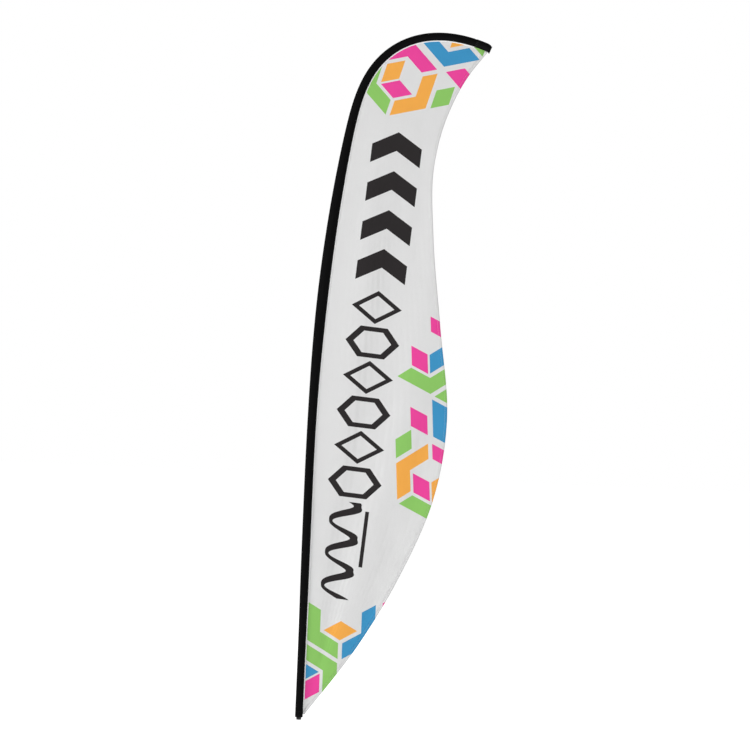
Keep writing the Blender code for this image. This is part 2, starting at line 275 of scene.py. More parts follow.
# the cloth, by distance along the sleeve and share of the way to the free edge
cloth = {
    "footCorner": 0.012,
    "tipCorner": 0.006,
    "tipDrop": 0.003,
    "edge": ((0, 0), (.12, .136), (.24, .227), (.36, .271), (.47, .239), (.60, .111),
             (.72, -.009), (.82, -.083), (.90, -.084), (.96, -.047), (1, 0)),
    "rungs": ((0.012, 0), (.50, .185), (1.0, .372), (1.5, .558), (2.0, .738), (2.4, .855),
              (2.75, .935), (3.146, 1)),
    "thickness": 0.0004,
    "layerGap": 0.0003,
    "tapeWidth": 0.0050,
    "tapeWall": 0.0004,
    "hemWidth": 0.0120,
    "hemWall": 0.0004,
    "foldAt": 0.0002,         # how far in the middle of a fold lies
    "along": 420,
    "across": 84,
    "stripAlong": 760,
    "ripple": 0.0070,         # most that the cloth stands off its plane
    "leastSquare": 0.35,      # rungs flatter than this to an edge count as this
    "crowding": 0.06,         # how much closer the stations are at the corners
    "startIn": 0.010,
    "endIn": 0.004,
    "tapeEnd": 0.001,         # the tape stops this far short of the pocket
    "cornerLift": 0.0006,     # near both corners the hem lies over the tape
    "cornerReach": 0.06,
    "cornerHold": 1.4,        # full over the first 0.4 of that reach
}


def seamLine(s, beyond=0.0):
    # the pole's line moved into the cloth by the sleeve's half width and this much more
    reach = sleeveHalfWidth(s) + sleeve["gap"] + beyond
    return poleLine(s) + intoCloth(s) * np.asarray(reach)[:, None]


def freeEdge(share):
    # the chord from corner to corner, and a stand-off square to it
    ends = np.array([cloth["footCorner"], pole["length"] - cloth["tipCorner"]])
    foot, tip = seamLine(ends, np.array([0, cloth["tipDrop"]]))
    chord = tip - foot
    side = np.array([chord[1], -chord[0]]) / np.hypot(*chord)
    return foot + share[:, None] * chord + through(cloth["edge"], share)[:, None] * side


def rungEnds(s):
    # each rung's foot on the seam and head on the free edge
    share = np.clip(through(cloth["rungs"], s), 0, 1)
    return seamLine(s), freeEdge(share)


def rungShares(s, width, fromEdge):
    # share of the rung that lies within this width of the seam or of the free edge
    foot, head = rungEnds(s)
    rung = head - foot
    length = np.maximum(np.hypot(*rung.T), 1e-6)
    line = unit(np.gradient(head if fromEdge else foot, axis=0))
    square = np.abs(rung[:, 0] * line[:, 1] - rung[:, 1] * line[:, 0]) / length
    return np.clip(width / np.maximum(length * np.maximum(square, cloth["leastSquare"]), 1e-6), 0, 1)


def clothPoints(s, t, depth):
    # points at these distances and shares, this far behind the middle layer, on the rippled cloth
    foot, head = rungEnds(s)
    flat = foot[:, None] + t[..., None] * (head - foot)[:, None]
    y = depth + rippleAt(np.broadcast_to(s[:, None], t.shape), t)
    return np.stack([flat[..., 0], y, flat[..., 1]], -1)


# how the cloth hangs: a coarse sheet held along the sleeve, settled under its weight from slight starting
# waves
settling = {
    "along": 110,
    "across": 22,
    "frames": 34,
    "quality": 6,
    "mass": 0.00012,
    "tension": 12.0,
    "bending": 0.35,
    "airDamping": 2.0,
    "inset": 0.03,            # from both corners
    "heldRows": 2,
    "start": 0.004,           # height of the slight waves that it begins with
    "waves": (9.0, 3.5),
    "smoothing": 4,
    "grip": 3.0,              # the sleeve holds it flat over a third of the way
    "gain": 1.6,
}


def settleCloth():
    # stand-off from the plane at each node of the coarse sheet
    low, high = cloth["footCorner"] + settling["inset"], pole["length"] - settling["inset"]
    s = np.linspace(low, high, settling["along"])
    t = np.linspace(0, 1, settling["across"])
    foot, head = rungEnds(s)
    flat = foot[:, None] + t[None, :, None] * (head - foot)[:, None]
    up, out = settling["waves"]
    first = settling["start"] * np.sin(up * s[:, None] + out * t) * np.sin(math.pi * t / 2) ** 2
    points = np.stack([flat[..., 0], first, flat[..., 1]], -1).reshape(-1, 3)
    mesh = bpy.data.meshes.new("settling")
    mesh.from_pydata(points.tolist(), [], gridFaces(len(s), len(t)).tolist())
    sheet = inScene("settling", mesh)
    held = sheet.vertex_groups.new(name="held")
    index = np.arange(len(points)).reshape(len(s), len(t))
    ends = settling["heldRows"]
    gripped = np.concatenate([index[:, 0], index[:ends].ravel(), index[-ends:].ravel()])
    held.add(gripped.tolist(), 1.0, "REPLACE")
    modifier = sheet.modifiers.new("cloth", "CLOTH")
    setup = modifier.settings
    setup.quality = settling["quality"]
    setup.mass = settling["mass"]
    setup.tension_stiffness = setup.compression_stiffness = settling["tension"]
    setup.shear_stiffness = settling["tension"] / 2
    setup.bending_stiffness = settling["bending"]
    setup.vertex_group_mass = "held"
    setup.air_damping = settling["airDamping"]
    modifier.collision_settings.use_collision = False
    scene = bpy.context.scene
    modifier.point_cache.frame_start = scene.frame_start = 1
    modifier.point_cache.frame_end = scene.frame_end = settling["frames"]
    for step in range(1, settling["frames"] + 1):
        scene.frame_set(step)
    settled = sheet.evaluated_get(bpy.context.evaluated_depsgraph_get()).data
    found = np.empty(len(points) * 3, np.float32)
    settled.vertices.foreach_get("co", found)
    scene.frame_set(1)
    bpy.data.objects.remove(sheet)
    return s, t, found.reshape(len(s), len(t), 3)[..., 1].astype(float)


def smoothed(field, rounds):
    # each value moved halfway to the mean of its four neighbours, this many times
    for _ in range(rounds):
        wide = np.pad(field, 1, mode="edge")
        around = (wide[:-2, 1:-1] + wide[2:, 1:-1] + wide[1:-1, :-2] + wide[1:-1, 2:]) / 4
        field = (field + around) / 2
    return field


hangS, hangT, hangY = settleCloth()
hangY = smoothed(hangY, settling["smoothing"]) * np.clip(hangT * settling["grip"], 0, 1) ** 2
hangY = cloth["ripple"] * np.tanh(hangY / max(np.abs(hangY).max(), 1e-6) * settling["gain"])
print("cloth settled: stands off", round(float(np.abs(hangY).max()) * 1000, 1), "mm at most")


def rippleAt(s, t):
    # the settled sheet's stand-off, smoothly interpolated between its nodes
    i = np.clip((s - hangS[0]) / (hangS[1] - hangS[0]), 0, len(hangS) - 1.001)
    j = np.clip(t * (len(hangT) - 1), 0, len(hangT) - 1.001)
    a, b = i.astype(int), j.astype(int)
    u, v = i - a, j - b
    u, v = u * u * (3 - 2 * u), v * v * (3 - 2 * v)
    return ((hangY[a, b] * (1 - u) + hangY[a + 1, b] * u) * (1 - v)
            + (hangY[a, b + 1] * (1 - u) + hangY[a + 1, b + 1] * u) * v)


def clothStations(count):
    # closer together towards both corners
    w = np.linspace(0, 1, count)
    eased = w - cloth["crowding"] * np.sin(2 * math.pi * w) / math.pi
    low = cloth["footCorner"] + cloth["startIn"]
    high = pole["length"] - cloth["tipCorner"] - cloth["endIn"]
    return low + eased * (high - low)


def makePanel(name, depth, stand):
    # from just inside the tape's fold to just inside the hem's
    s = clothStations(cloth["along"])
    inner = rungShares(s, cloth["tapeWall"] + cloth["layerGap"], False)
    outer = 1 - rungShares(s, cloth["hemWall"] + cloth["layerGap"], True)
    t = inner[:, None] + (outer - inner)[:, None] * np.linspace(0, 1, cloth["across"])
    points = clothPoints(s, t, depth)
    uv = metres(s, awayFrom(points, 0))
    panel = addPiece(name, points, gridFaces(*t.shape), "flag", (stand,), uv)
    return thicken(panel, cloth["thickness"], 0)


layerStep = cloth["thickness"] + cloth["layerGap"]
frontPanel = makePanel("frontCloth", -layerStep, "front_panel")
backPanel = makePanel("backCloth", layerStep, "back_panel")
liner = makePanel("linerCloth", 0.0, "blockout_liner")
print("panels and liner laid")


def foldedStrip(name, s, foldT, mouthT, legs, extra, stand, wall):
    # two legs and the round fold between them, in five columns to each side
    cols = np.array([1, .66, .33, .06, 0])
    halves = []
    for sign in (-1, 1):
        t = foldT[:, None] + (mouthT - foldT)[:, None] * cols
        depth = sign * (legs + extra[:, None]) * np.array([1, 1, 1, .92, .45])
        halves.append(clothPoints(s, t, depth))
    rows = np.concatenate([halves[0], halves[1][:, ::-1]], axis=1)
    uv = metres(s, awayFrom(rows, len(cols) - 1))
    strip = addPiece(name, rows, gridFaces(*rows.shape[:2]), "flag", (stand,), uv)
    return thicken(strip, wall, 0)


def liftOver(at, first, last):
    # the hem's lift over the tape: full at both corners and gone a little way from them
    near = np.minimum(at - first, last - at)
    return cloth["cornerLift"] * np.clip(cloth["cornerHold"] - near / cloth["cornerReach"], 0, 1)


def bindCloth():
    # the tape runs along the sleeve to the pocket, and the hem along the whole free edge
    s = clothStations(cloth["stripAlong"])
    legs = 1.5 * cloth["thickness"] + 2 * cloth["layerGap"] + cloth["tapeWall"] / 2
    taped = s < pole["length"] - pocket["length"] - cloth["tapeEnd"]
    tape = foldedStrip("seamTape", s[taped], rungShares(s, cloth["foldAt"], False)[taped],
                       rungShares(s, cloth["tapeWidth"], False)[taped], legs, np.zeros(taped.sum()),
                       "seam_tape", cloth["tapeWall"])
    hem = foldedStrip("trailingHem", s, 1 - rungShares(s, cloth["foldAt"], True),
                      1 - rungShares(s, cloth["hemWidth"], True), legs, liftOver(s, s[0], s[-1]),
                      "trailing_hem", cloth["hemWall"])
    return tape, hem


seamTape, trailingHem = bindCloth()
print("tape and hem sewn on")


# sleeve: round over the pole, drawn flat towards the cloth

def sleeveSection(s, turn, grow=0.0):
    # half an oval on the outer side; on the cloth's side a circle and its tangents to the seam
    wide = sleeveHalfWidth(s)[:, None] + grow
    deep = sleeveHalfDepth(s)[:, None] + grow
    edge = sleeve["seamHalf"] + grow
    w = wide * np.cos(turn)
    touch = deep * deep / wide
    atTouch = np.sqrt(np.maximum(deep**2 - touch**2, 1e-9))
    straight = edge + (atTouch - edge) * np.clip((wide - w) / (wide - touch), 0, 1)
    oval = deep * np.sqrt(np.maximum(1 - (w / wide) ** 2, 0))
    circle = np.sqrt(np.maximum(deep**2 - w**2, 0))
    half = np.where(w < 0, oval, np.where(w < touch, circle, straight))
    return w, half * bothSides(turn)


def bothSides(turn):
    # -1 behind and 1 in front of the cloth's plane, and 0 on it
    return np.where(np.sin(turn) < 0, -1, 1) * np.clip(np.abs(np.sin(turn)) * sleeve["corner"], 0, 1)


def sleeveWrinkles(s, turn):
    # long soft folds from a few waves, and short creases on the hook's inner side where it bends
    long = sum(share * np.sin(up * s + around * turn + start) for up, around, start, share in sleeve["folds"])
    long = long / sum(fold[3] for fold in sleeve["folds"])
    step = 0.01
    bend = (leanAt(s + step) - leanAt(s - step)) / (2 * step) / sleeve["tightBend"]
    inner = np.clip(np.cos(turn), 0, 1) * np.clip(np.abs(np.sin(turn)) * 2, 0, 1)
    sway, rate, slant = sleeve["creaseDrift"]
    creases = np.sin(sleeve["creases"] * s + sway * np.sin(rate * s) + slant * np.abs(np.sin(turn)))
    return sleeve["wrinkle"] * long + sleeve["bunching"] * np.clip(bend, 0, 1) * inner * creases


def slackness(s):
    # 1 along the sleeve, falling to 0 where the pocket grips it
    return np.clip((pole["length"] - pocket["length"] - s) / sleeve["gripped"], 0, 1)[:, None]


def sleeveSkin(s, turn, grow=0.0, wrinkled=True):
    # the section carried along the pole's line, a little slack, with its wrinkles pushed outwards
    w, y = sleeveSection(s, turn, grow + sleeve["proud"] * slackness(s))
    if wrinkled:
        push = sleeveWrinkles(s[:, None], turn) * np.clip(np.abs(np.sin(turn)) * 1.6, 0, 1) * slackness(s)
        w, y = w + push * np.cos(turn), y + push * np.sin(turn)
    return placed(s, w, y)


def placed(s, w, y):
    # points this far into the cloth from the pole's line, and this far behind its plane
    points = poleLine(s)[:, None] + intoCloth(s)[:, None] * w[..., None]
    return np.stack([points[..., 0], y, points[..., 1]], -1)


def roundAbout(count):
    # angles round the pole from the seam, as one row
    return np.linspace(0, 2 * math.pi, count, endpoint=False)[None, :]


def roundMetres(s, turn):
    # the same metres on a tube, where aside is the angle times the girth
    return metres(s, np.broadcast_to(turn * sleeve["girth"], (len(s), turn.size)))


def makeSleeve():
    # the section carried from the foot into the pocket, its wall on the inside
    s = np.linspace(sleeve["start"], pole["length"] - pocket["toe"] - sleeve["gap"], sleeve["along"])
    turn = roundAbout(sleeve["around"])
    tube = addPiece("poleSleeve", sleeveSkin(s, turn), gridFaces(len(s), turn.size, ring=True),
                    "flag", ("pole_sleeve",), roundMetres(s, turn))
    return thicken(tube, sleeve["wall"], -1)


poleSleeve = makeSleeve()
print("sleeve drawn over the pole")


# pocket over the sleeve's tip: a double-walled sock, drawn flat and sewn shut along a square-cut end

def tentHalf(w, wide, deep, edge):
    # half the depth of a round core with straight flanks down to a thin edge
    touch = deep * deep / wide
    atTouch = np.sqrt(np.maximum(deep**2 - touch**2, 1e-10))
    flank = edge + (atTouch - edge) * np.clip((wide - w) / (wide - touch), 0, 1)
    return np.where(w < touch, np.sqrt(np.maximum(deep**2 - w**2, 0)), flank)


def over(along, length):
    # rises from 0 to 1 over the last stretch of this length before the pole's end
    return np.clip((along + length) / length, 0, 1)


def pocketRows(s, turn, inside):
    # the sleeve's own section at the mouth, blending into the flat toe with a lip on the cloth's side
    grow = pocket["clear"] + (0 if inside else pocket["wall"])
    mouthW, mouthY = sleeveSection(s, turn, grow)
    along = s[:, None] - pole["length"]
    toe = over(along, pocket["toe"]) ** 1.5
    wide = sleeveHalfWidth(s)[:, None]
    outerWide = wide + grow - (wide - pocket["pointHalf"]) * over(along, pocket["chamfer"])
    innerWide = wide + grow + pocket["lip"] * over(along, pocket["flare"]) ** 2
    noseAt = np.clip((along + pocket["noseFrom"]) / (pocket["noseFrom"] + pocket["past"]), 0, 1)
    shut = noseAt > 0.9999
    coreHalf = pocket["coreHalf"] - (pocket["wall"] if inside else 0)
    core = coreHalf * np.sqrt(np.maximum(1 - noseAt**2, 0)) + pocket["coreRoom"]
    edge = pocket["edgeHalf"] * np.where(shut, 0, 1) * (0.5 if inside else 1)
    halfWide = np.where(np.cos(turn) > 0, innerWide, outerWide)
    w = halfWide * np.cos(turn)
    tent = tentHalf(np.abs(w), halfWide, np.maximum(core, edge), edge) * bothSides(turn)
    y = np.where(shut, 0, mouthY * (1 - toe) + tent * toe)
    return placed(s, mouthW * (1 - toe) + w * toe, y)


def makePocket():
    # the outer wall from tip to mouth, then the inner wall back, both sewn flat at the tip
    end = pole["length"]
    turn = roundAbout(pocket["around"])
    body, toe = pocket["rows"]
    s = np.concatenate([np.linspace(end - pocket["length"], end - pocket["toe"], body)[:-1],
                        np.linspace(end - pocket["toe"], end + pocket["past"], toe)])
    back = np.stack([np.sin(leanAt(s)), 0 * s, np.cos(leanAt(s))], -1)
    back *= pocket["innerShort"] * over(s - end, pocket["innerFrom"])[:, None]
    rows = np.concatenate([pocketRows(s, turn, False)[::-1], pocketRows(s, turn, True) - back[:, None]])
    uv = roundMetres(np.concatenate([s[::-1], s]), turn)
    sock = addPiece("tipPocket", rows, gridFaces(len(rows), turn.size, ring=True),
                    "flag", ("tip_pocket",), uv)
    sewn = bmesh.new()
    sewn.from_mesh(sock.data)
    bmesh.ops.remove_doubles(sewn, verts=sewn.verts, dist=pocket["weld"])
    bmesh.ops.recalc_face_normals(sewn, faces=sewn.faces)
    sewn.to_mesh(sock.data)
    sewn.free()
    return sock


tipPocket = makePocket()


footBandSizes = {
    "length": 0.025,
    "wall": 0.0007,
    "clear": 0.0003,
    "around": 48,
    "rows": 12,
    "lip": ((.0002, .00025), (-.0002, .0006), (-.0003, .0010)),  # (height, way in) of the rolled edge
}


def makeFootBand():
    # the sleeve's foot turned up inside itself, with a rolled lower lip
    low, high = sleeve["start"], sleeve["start"] + footBandSizes["length"]
    lipUp, lipIn = np.array(footBandSizes["lip"]).T
    s = np.concatenate([[high], np.linspace(high - 0.001, low + 0.0008, footBandSizes["rows"]), low + lipUp])
    inset = np.concatenate([np.zeros(len(s) - len(lipIn)), lipIn]) - (sleeve["wall"] + footBandSizes["clear"])
    turn = roundAbout(footBandSizes["around"])
    rows = sleeveSkin(s, turn, inset[:, None], wrinkled=False)
    band = addPiece("sleeveFootBand", rows, gridFaces(len(s), turn.size, ring=True)[:, ::-1],
                    "flag", ("sleeve_foot_band",), roundMetres(s, turn))
    return thicken(band, footBandSizes["wall"], -1)


footBand = makeFootBand()
print("pocket and foot band sewn on")


# the parts that show when the flag is lifted off: lowest tube, its collar and the foot bush
turnedParts = {
    "sides": 96,
    "tubeWall": 0.0015,
    "tubeEase": 0.0004,       # how far each corner is rounded
    "slip": 0.0003,
    "collarWall": 0.0008,
    "collarEase": 0.0006,
    "nextTube": 0.0164,
    "bore": 0.0125,
    "bushFoot": 0.010,
    "bushEase": 0.0020,
    "bushInnerEase": 0.0003,
}


def rounded(corners, ease):
    # each corner of a closed outline becomes a short curve this far to each side, between two more points
    corner = np.array(corners, float)
    before, after = np.roll(corner, 1, axis=0) - corner, np.roll(corner, -1, axis=0) - corner
    spans = np.minimum(np.hypot(*before.T), np.hypot(*after.T))
    reach = np.minimum(ease, spans * .3)[:, None]
    back, on = unit(before) * reach, unit(after) * reach
    t = np.linspace(0, 1, 6)[None, :, None]
    arc = corner[:, None] + (1 - t) ** 2 * back[:, None] + t**2 * on[:, None]
    first, last = (corner + 1.5 * back)[:, None], (corner + 1.5 * on)[:, None]
    return np.concatenate([first, arc, last], axis=1).reshape(-1, 2)


def turnedPiece(name, outline, body, stand):
    # a closed (radius, height) outline turned about the upright axis
    turn = roundAbout(turnedParts["sides"]).T
    radius, height = outline.T
    points = np.stack([radius * np.cos(turn), radius * np.sin(turn), height + 0 * turn], -1)
    index = np.arange(turn.size * len(outline)).reshape(turn.size, len(outline))
    ahead, on = np.roll(index, -1, axis=0), np.roll(index, -1, axis=1)
    faces = np.stack([index, ahead, np.roll(ahead, -1, axis=1), on], -1).reshape(-1, 4)
    return addPiece(name, points, faces, body, (stand,))


def makeLowerPole():
    # outlines run up the outer side and down the bore
    low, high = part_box("pole_section_1")
    outer = pole["outer"] / 2
    inner = outer - turnedParts["tubeWall"]
    outline = [(outer, low[2]), (outer, high[2]), (inner, high[2]), (inner, low[2])]
    tube = turnedPiece("lowestTube", rounded(outline, turnedParts["tubeEase"]),
                       "lower_pole", "pole_section_1")

    low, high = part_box("ferrule_1")
    grip, lip = outer + turnedParts["slip"], turnedParts["nextTube"] / 2 + turnedParts["slip"]
    seat, rim = high[2] - turnedParts["collarWall"], grip + turnedParts["collarWall"]
    outline = [(rim, low[2]), (rim, high[2]), (lip, high[2]), (lip, seat), (grip, seat), (grip, low[2])]
    ease = np.array([.5, 1, .5, .3, .3, .3]) * turnedParts["collarEase"]
    collar = turnedPiece("tubeCollar", rounded(outline, ease), "lower_pole", "ferrule_1")

    low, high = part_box("foot_bush")
    bore, foot, small = turnedParts["bore"] / 2, turnedParts["bushFoot"], turnedParts["bushInnerEase"]
    spigot = inner - turnedParts["slip"]
    outline = [(outer, low[2]), (outer, foot), (spigot, foot),
               (spigot, high[2]), (bore, high[2]), (bore, low[2])]
    ease = np.array([turnedParts["bushEase"], small, small, small * 2, small * 2, small * 2])
    bush = turnedPiece("footBush", rounded(outline, ease), "foot", "foot_bush")
    return tube, collar, bush


lowestTube, tubeCollar, footBush = makeLowerPole()
print("lowest tube, collar and bush turned")


# stitching, as short threads
stitching = {
    "pitch": 0.0034,
    "length": 0.0027,
    "thread": 0.00042,
    "sleeveTurns": (0.30, 0.44),  # radians round from the seam
    "endMargin": 0.004,
    "hemInset": 0.0022,
    "hemStart": 0.02,
    "hemShort": 0.045,        # how much shorter the hem's rows are than the edge
    "hemMargin": 0.002,
    "footRows": (0.0045, 0.0215),
    "mouthRows": (0.004, 0.008),
}


def rowOnSkin(s, turn, side):
    # places along the sleeve at this angle from the seam, with the directions along and outwards
    here = sleeveSkin(s, np.array([[side * turn]]))[:, 0]
    ahead = sleeveSkin(s + 0.0008, np.array([[side * turn]]))[:, 0]
    beside = sleeveSkin(s, np.array([[side * (turn + 0.05)]]))[:, 0]
    along = unit(ahead - here)
    out = unit(np.cross(along, beside - here))
    return here, along, out * np.sign(out[:, 1:2]) * side


def rowRound(at, grow):
    # places round the sleeve at this height, evenly spaced along its girth
    fine = np.linspace(0, 2 * math.pi, 721)
    at = np.array([at])
    ring = sleeveSkin(at, fine[None, :], grow, wrinkled=grow == 0)[0]
    run = np.concatenate([[0], np.cumsum(np.linalg.norm(np.diff(ring, axis=0), axis=1))])
    count = int(run[-1] / stitching["pitch"])
    angle = np.interp((np.arange(count) + .5) * run[-1] / count, run, fine)[None, :]
    here = sleeveSkin(at, angle, grow, wrinkled=grow == 0)[0]
    along = unit(sleeveSkin(at, angle + 0.01, grow, wrinkled=grow == 0)[0] - here)
    upward = np.array([math.sin(leanAt(at)[0]), 0, math.cos(leanAt(at)[0])])
    out = unit(np.cross(along, upward))
    away = here - here.mean(axis=0)
    return here, along, out * np.sign((away * out).sum(axis=1))[:, None]


def rowOnHem(side):
    # places along the hem, a little inside its mouth
    reach = pole["length"] - cloth["footCorner"] - stitching["hemShort"]
    s = cloth["footCorner"] + stitching["hemStart"] + np.linspace(0, 1, 1400) * reach
    share = rungShares(s, cloth["hemWidth"] - stitching["hemInset"], True)
    centre = clothPoints(s, 1 - share[:, None], 0.0)[:, 0]
    run = np.concatenate([[0], np.cumsum(np.linalg.norm(np.diff(centre, axis=0), axis=1))])
    margin = stitching["hemMargin"]
    at = np.interp(np.arange(margin, run[-1] - margin, stitching["pitch"]), run, s)
    legs = 1.5 * cloth["thickness"] + 2 * cloth["layerGap"] + cloth["hemWall"]
    here = clothPoints(at, 1 - np.interp(at, s, share)[:, None], 0.0)[:, 0]
    here[:, 1] += side * (legs + liftOver(at, s[0], s[-1]))
    return here, unit(np.gradient(here, axis=0)), np.broadcast_to([0.0, side, 0.0], here.shape)


def makeStitching():
    # rows up the sleeve's seam, along the hem, round the foot band and round the pocket's mouth
    mouth = pole["length"] - pocket["length"]
    margin = stitching["endMargin"]
    s = np.arange(sleeve["start"] + margin, mouth - margin, stitching["pitch"])
    seamRows = [rowOnSkin(s, turn, side) for side in (-1, 1) for turn in stitching["sleeveTurns"]]
    hemRows = [rowOnHem(side) for side in (-1, 1)]
    endRows = [rowRound(sleeve["start"] + up, 0.0) for up in stitching["footRows"]]
    endRows += [rowRound(mouth + up, pocket["wall"] + pocket["clear"]) for up in stitching["mouthRows"]]
    pieces = []
    for name, slotName, rows in (("sleeveStitching", "sleeve_fabric", seamRows),
                                 ("hemStitching", "hem_fabric", hemRows),
                                 ("endStitching", "sleeve_fabric", endRows)):
        points, faces = joined([stitchRow(*row, stitching["length"], stitching["thread"]) for row in rows])
        pieces.append(addPiece(name, points, faces, "flag"))
    return pieces


sleeveStitching, hemStitching, endStitching = makeStitching()
print("stitching sewn")


# materials

class Finish:
    # a material's node tree, with short ways to add to it; an underscore in a socket's name is a space
    def __init__(self, name, **sockets):
        self.material = bpy.data.materials.new(name)
        self.material.use_nodes = True
        self.tree = self.material.node_tree
        self.shader = self.tree.nodes["Principled BSDF"]
        for socket, value in sockets.items():
            self.shader.inputs[socket.replace("_", " ")].default_value = value

    def node(self, kind, **inputs):
        made = self.tree.nodes.new(kind)
        for key, value in inputs.items():
            self.put(made.inputs[key.replace("_", " ")], value)
        return made

    def put(self, socket, value):
        if isinstance(value, bpy.types.NodeSocket):
            self.tree.links.new(value, socket)
        else:
            socket.default_value = value

    def filled(self, kind, values, **settings):
        # a node with these settings and its sockets filled in order, None leaving one as it is
        made = self.tree.nodes.new(kind)
        for key, value in settings.items():
            setattr(made, key, value)
        for socket, value in zip(made.inputs, values):
            if value is not None:
                self.put(socket, value)
        return made.outputs

    def math(self, operation, a, b=None, c=None):
        return self.filled("ShaderNodeMath", (a, b, c), operation=operation)[0]

    def mix(self, factor, a, b, blend="MIX"):
        values = (factor, *[None] * 5, a, b)  # its two colours come after five unused sockets
        return self.filled("ShaderNodeMix", values, data_type="RGBA", blend_type=blend)[2]

    def dot(self, vector, direction):
        return self.filled("ShaderNodeVectorMath", (vector, direction), operation="DOT_PRODUCT")["Value"]

    def bump(self, height, strength, distance, normal=None):
        made = self.node("ShaderNodeBump", Height=height, Strength=strength, Distance=distance)
        if normal is not None:
            self.put(made.inputs["Normal"], normal)
        return made.outputs[0]

    def coordinates(self, kind="Object"):
        return self.node("ShaderNodeTexCoord").outputs[kind]

    def noise(self, vector, scale, detail=2.0, rough=0.5):
        made = self.node("ShaderNodeTexNoise", Vector=vector, Scale=scale, Detail=detail, Roughness=rough)
        return made.outputs[0]

    def streaks(self, vector, scales, detail=2.0, rough=0.5):
        # noise with its own scale along each axis
        drawn = self.node("ShaderNodeMapping", Vector=vector, Scale=scales).outputs[0]
        return self.noise(drawn, 1.0, detail, rough)

    def shaded(self, colour, level):
        # the colour times a level that varies over the surface
        grey = self.node("ShaderNodeCombineColor", Red=level, Green=level, Blue=level).outputs[0]
        return self.mix(1.0, colour, grey, "MULTIPLY")

    def ramp(self, value, low, high, toLow=0.0, toHigh=1.0):
        # rises smoothly from toLow to toHigh as the value goes from low to high
        values = (value, low, high, toLow, toHigh)
        return self.filled("ShaderNodeMapRange", values, interpolation_type="SMOOTHSTEP")[0]

    def done(self, colour, roughness, normal):
        for socket, value in (("Base Color", colour), ("Roughness", roughness), ("Normal", normal)):
            self.put(self.shader.inputs[socket], value)
        return self.material


def screen(r, g, b):
    # a screen colour from 0 to 255 as linear light
    value = np.array([r, g, b]) / 255
    return (*np.where(value < .04045, value / 12.92, ((value + .055) / 1.055) ** 2.4), 1.0)


def tinted(colour, share, least=0.0):
    # the colour times this share, no brighter than 1
    return (*(min(1, c * share + least) for c in colour), 1)


palette = {
    "ground": screen(222, 222, 222),
    "pink": screen(236, 66, 155),
    "blue": screen(58, 147, 197),
    "orange": screen(244, 171, 74),
    "green": screen(140, 199, 100),
    "ink": screen(35, 31, 32),
}


# blocks of colour on a triangular grid, in millimetres: each block lies between two pairs of lines,
# named by the way they run, at these distances across from the cluster's middle. 999 is past the cloth.
clusters = (
    {"middle": (.322, 2.57), "turned": -16.8, "blocks": (
        ("pink", "rise", 21, 999, "fall", -124, -69),
        ("pink", "rise", 95, 999, "fall", -124, 160),
        ("blue", "rise", 27, 82, "fall", -278, -152),
        ("blue", "rise", 27, 999, "fall", -204, -152),
        ("orange", "rise", 97, 999, "post", -999, -123),
        ("green", "fall", -999, -295, "post", -258, -140),
        ("orange", "rise", 14, 81, "post", 29, 93),
        ("pink", "rise", -58, 7, "fall", 17, 84),
        ("green", "fall", 96, 150, "post", 33, 999),
        ("green", "post", 109, 999, "fall", 10, 150),
        ("orange", "rise", -123, -69, "post", -110, 17),
        ("orange", "post", -110, -57, "rise", -123, 5),
        ("green", "rise", -126, -60, "post", -193, -128),
        ("pink", "fall", -211, -144, "rise", -120, 5),
    )},
    {"middle": (.432, 1.22), "turned": 4.0, "blocks": (
        ("pink", "fall", -383, -330, "post", -999, -56),
        ("pink", "post", -40, 24, "fall", -244, -176),
        ("blue", "rise", 133, 198, "post", -999, -48),
        ("green", "fall", -166, -110, "rise", 63, 193),
        ("green", "rise", 63, 118, "fall", -999, -110),
        ("green", "rise", -120, 46, "fall", -999, -109),
        ("blue", "post", -999, -53, "fall", -94, 35),
        ("pink", "post", -32, 35, "fall", -27, 40),
        ("green", "rise", -84, -18, "post", 34, 98),
        ("orange", "rise", -154, -101, "post", -32, 98),
        ("orange", "post", 43, 98, "rise", -227, -101),
        ("pink", "fall", 62, 115, "post", -999, -48),
        ("pink", "post", -33, 32, "fall", 202, 269),
        ("orange", "rise", -420, -240, "post", -999, -41),
        ("green", "fall", 281, 336, "rise", -999, -244),
    )},
    {"middle": (.112, .28), "turned": 0.2, "blocks": (
        ("green", "post", 41, 999, "fall", -120, 11),
        ("green", "fall", -44, 11, "post", -33, 999),
        ("orange", "rise", 18, 84, "fall", -125, -57),
        ("blue", "post", -178, -123, "rise", -52, 75),
        ("blue", "rise", -52, 3, "post", -178, -49),
        ("pink", "rise", -999, 69, "post", -999, -205),
        ("green", "fall", 26, 81, "post", -32, 999),
        ("green", "post", -32, 24, "fall", 26, 999),
        ("blue", "fall", 95, 999, "rise", -55, 999),
        ("pink", "rise", -126, -62, "post", 36, 999),
    )},
)
ways = {"rise": 30, "post": 90, "fall": 150}
clusterReach = 0.46           # metres above and below its middle

# plain marks in ink, set up a line that leans: places along it and widths across it, in metres
marks = {
    "foot": (.1849, .9665),
    "leans": 4.8,
    "arrows": {"from": .824, "count": 4, "pitch": .157, "share": .48, "half": .100, "slope": .577},
    "rings": {"from": -.080, "count": 6, "pitch": .141, "outer": .062, "stroke": .0185, "squeeze": .66},
    "wave": {"from": -.480, "to": -.090, "swing": .050, "length": .130, "start": .4,
             "half": .0115, "aside": -.026},
    "rule": {"from": -.344, "to": -.120, "aside": .0645, "half": .0076},
}


def between(finish, value, low, high):
    # 1 where the value lies from low to high
    return finish.math("COMPARE", value, (low + high) / 2, (high - low) / 2)


